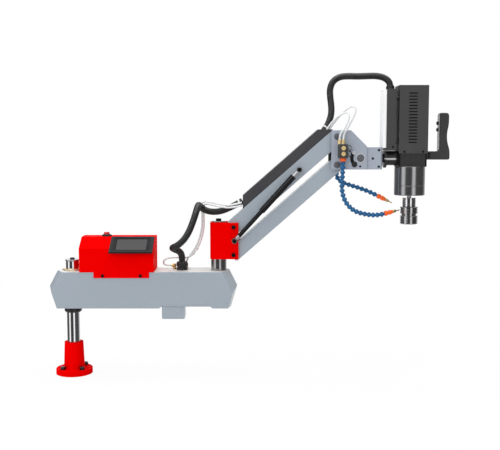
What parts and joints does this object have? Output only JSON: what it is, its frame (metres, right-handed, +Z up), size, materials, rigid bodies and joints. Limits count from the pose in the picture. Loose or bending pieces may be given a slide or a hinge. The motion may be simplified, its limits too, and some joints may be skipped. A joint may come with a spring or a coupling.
{
  "type": "arm tapping machine",
  "caption": "Bench tapping machine: swivelling beam with control box, gas-spring parallelogram arm and tilting motor head with quick-change chuck.",
  "frame": {"origin": "axis of the base column on the underside of the bench flange", "axes": "+Z up, +X along the beam towards the spindle, +Y away from the control panel's side"},
  "size_m": [1.298, 0.1705, 0.9977],
  "materials": {
    "red_paint": "gloss",
    "grey_paint": "satin",
    "light_paint": "satin",
    "dark_paint": "satin",
    "black_gloss": "gloss",
    "charcoal_sheet": "matte",
    "chrome": "polished",
    "steel": "brushed",
    "dark_steel": "satin",
    "aluminium": "satin",
    "brass": "polished",
    "black_plastic": "matte",
    "bezel_plastic": "satin",
    "screen": "gloss",
    "red_plastic": "gloss",
    "orange_plastic": "gloss",
    "blue_plastic": "satin",
    "clear_tube": "clear",
    "hose_plastic": "corrugated",
    "rubber": "matte"
  },
  "bodies": {
    "base": {"base_flange": "red_paint", "base_screws": "dark_steel", "base_column": "chrome", "column_cap": "steel", "support_collar": "dark_steel"},
    "beam": {"beam_casting": "grey_paint", "column_bushes": "brass", "under_block": "grey_paint", "control_cover": "red_paint", "hmi_bezel": "bezel_plastic", "hmi_screen": "screen", "power_supply": "aluminium", "beam_screws": "dark_steel", "cable_gland": "black_plastic", "air_fittings": "brass", "elbow_rings": "black_gloss", "elbow_shaft": "steel", "elbow_hose": "hose_plastic", "elbow_tubes": "clear_tube"},
    "start_push": {"start_button": "red_plastic"},
    "elbow": {"elbow_block": "red_paint", "elbow_bushes": "brass", "elbow_bolts": "dark_steel"},
    "upper_arm": {"upper_link": "grey_paint", "arm_cover": "charcoal_sheet", "spring_stud": "dark_steel", "link_stop": "rubber", "head_hose": "hose_plastic"},
    "lower_arm": {"lower_link": "grey_paint"},
    "spring_body": {"gas_cylinder": "black_gloss", "spring_upper_end": "steel"},
    "spring_rod": {"gas_rod": "black_gloss", "spring_lower_end": "steel"},
    "head_carrier": {"head_bracket": "light_paint", "bracket_pins": "steel", "coolant_valves": "black_plastic", "valve_fittings": "brass", "hose_nuts": "orange_plastic", "coolant_nozzles": "brass", "coolant_hose_front": "blue_plastic", "coolant_hose_rear": "blue_plastic", "head_tubes": "clear_tube"},
    "lever_upper": {"valve_lever_upper": "steel"},
    "lever_lower": {"valve_lever_lower": "steel"},
    "tilt_knuckle": {"knuckle_block": "light_paint", "knuckle_screws": "dark_steel"},
    "motor_head": {"roll_journal": "dark_steel", "gearbox_housing": "dark_paint", "side_plates": "black_gloss", "motor_cover": "dark_paint", "servo_motor": "black_plastic", "controller_box": "black_plastic", "heat_sink": "aluminium", "spindle_housing": "black_gloss", "handle": "dark_paint"},
    "spindle": {"spindle_shaft": "chrome", "chuck_body": "chrome"},
    "sleeve": {"chuck_sleeve": "steel"},
    "grip_push_upper": {"grip_button_upper": "black_plastic"},
    "grip_push_lower": {"grip_button_lower": "black_plastic"}
  },
  "joints": [
    {"name": "beam_swivel", "type": "hinge", "parent": "base", "child": "beam", "pos_m": [0, 0, 0.226], "axis": [0, 0, 1], "range_deg": [-180, 180]},
    {"name": "elbow_swivel", "type": "hinge", "parent": "beam", "child": "elbow", "pos_m": [0.48, 0, 0.384], "axis": [0, 0, 1], "range_deg": [-120, 120], "deforming": ["elbow_hose", "elbow_tubes"]},
    {"name": "arm_lift", "type": "hinge", "parent": "elbow", "child": "upper_arm", "pos_m": [0.529, 0, 0.488], "axis": [0, -1, 0], "range_deg": [-36, 0], "deforming": ["elbow_hose", "elbow_tubes", "head_hose", "head_tubes"]},
    {"name": "lower_arm_swing", "type": "hinge", "parent": "elbow", "child": "lower_arm", "pos_m": [0.529, 0, 0.398], "axis": [0, -1, 0], "range_deg": [-36, 0]},
    {"name": "head_level", "type": "hinge", "parent": "upper_arm", "child": "head_carrier", "pos_m": [0.86031, 0, 0.77906], "axis": [0, -1, 0], "range_deg": [0, 36], "deforming": ["head_hose", "head_tubes"]},
    {"name": "spring_swing", "type": "hinge", "parent": "upper_arm", "child": "spring_body", "pos_m": [0.74011, -0.045, 0.67346], "axis": [0, -1, 0], "range_deg": [0, 2.31]},
    {"name": "spring_slide", "type": "slide", "parent": "spring_body", "child": "spring_rod", "axis": [0.672, 0, 0.7405], "range_m": [0, 0.0242]},
    {"name": "valve_turn_upper", "type": "hinge", "parent": "head_carrier", "child": "lever_upper", "pos_m": [0.89201, -0.057, 0.74196], "axis": [1, 0, 0], "range_deg": [0, 90]},
    {"name": "valve_turn_lower", "type": "hinge", "parent": "head_carrier", "child": "lever_lower", "pos_m": [0.89201, -0.057, 0.72396], "axis": [1, 0, 0], "range_deg": [0, 90]},
    {"name": "head_tilt", "type": "hinge", "parent": "head_carrier", "child": "tilt_knuckle", "pos_m": [0.93501, 0, 0.71046], "axis": [0, -1, 0], "range_deg": [0, 45], "deforming": ["head_hose"]},
    {"name": "head_roll", "type": "hinge", "parent": "tilt_knuckle", "child": "motor_head", "pos_m": [1.00001, 0, 0.70996], "axis": [1, 0, 0], "range_deg": [-60, 60], "deforming": ["head_hose"]},
    {"name": "spindle_spin", "type": "hinge", "parent": "motor_head", "child": "spindle", "pos_m": [1.10001, 0, 0.58996], "axis": [0, 0, 1], "continuous": true},
    {"name": "sleeve_slide", "type": "slide", "parent": "spindle", "child": "sleeve", "axis": [0, 0, 1], "range_m": [0, 0.005], "stiffness_N_per_m": 800, "springref_m": -0.004},
    {"name": "start_press", "type": "slide", "parent": "beam", "child": "start_push", "axis": [0, 0, -1], "range_m": [0, 0.004], "stiffness_N_per_m": 300, "springref_m": -0.002},
    {"name": "grip_press_upper", "type": "slide", "parent": "motor_head", "child": "grip_push_upper", "axis": [1, 0, 0], "range_m": [0, 0.003], "stiffness_N_per_m": 300, "springref_m": -0.002},
    {"name": "grip_press_lower", "type": "slide", "parent": "motor_head", "child": "grip_push_lower", "axis": [1, 0, 0], "range_m": [0, 0.003], "stiffness_N_per_m": 300, "springref_m": -0.002}
  ],
  "couplings": [
    {"joint": "lower_arm_swing", "follows": "arm_lift", "ratio": 1},
    {"joint": "head_level", "follows": "arm_lift", "ratio": -1},
    {"joint": "spring_swing", "follows": "arm_lift", "ratio": -0.0636},
    {"joint": "spring_slide", "follows": "arm_lift", "m_per_rad": -0.03836}
  ]
}
